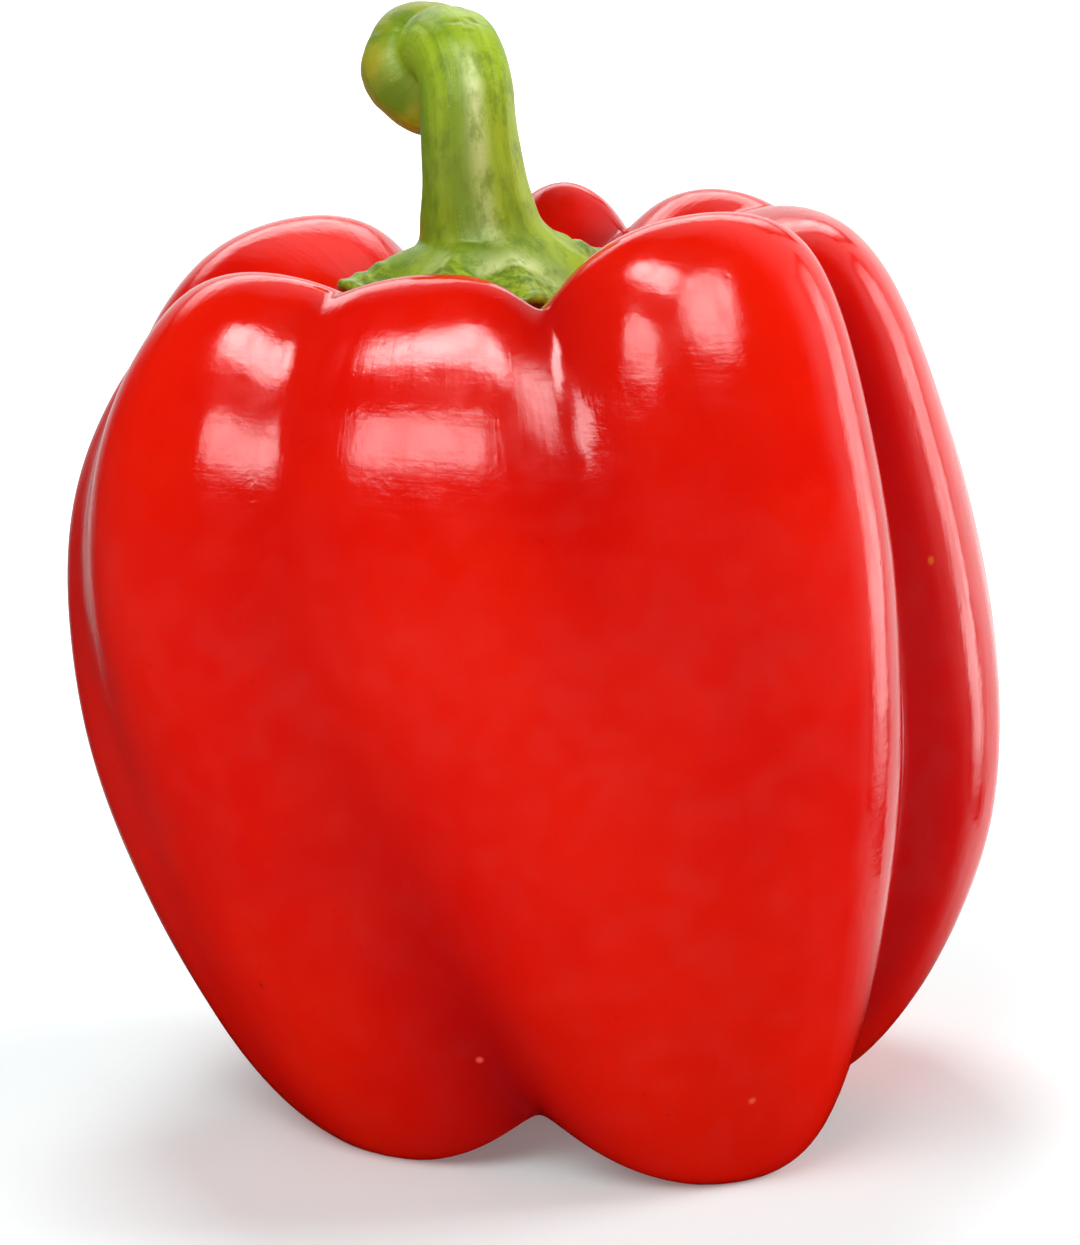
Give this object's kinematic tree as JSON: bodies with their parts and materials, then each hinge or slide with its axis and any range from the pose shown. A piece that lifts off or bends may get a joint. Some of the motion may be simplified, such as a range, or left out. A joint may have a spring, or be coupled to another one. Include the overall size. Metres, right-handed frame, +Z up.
{
  "type": "bell pepper",
  "caption": "Blocky red bell pepper standing on its lobes, with deep clefts between them and a green stem that bends over to a swollen cut end.",
  "frame": {"origin": "bottom centre of the bounding box, on the surface that the pepper stands on", "axes": "+Z up towards the stem, -Y towards the front that the picture shows, +X to the right in the picture"},
  "size_m": [0.0896, 0.0814, 0.1066],
  "materials": {
    "skin": "smooth glossy waxy red skin",
    "stem": "satin fibrous green stalk with darker wrinkled sepals"
  },
  "bodies": {
    "root": {"fruit": "skin", "stem": "stem"}
  },
  "joints": []
}
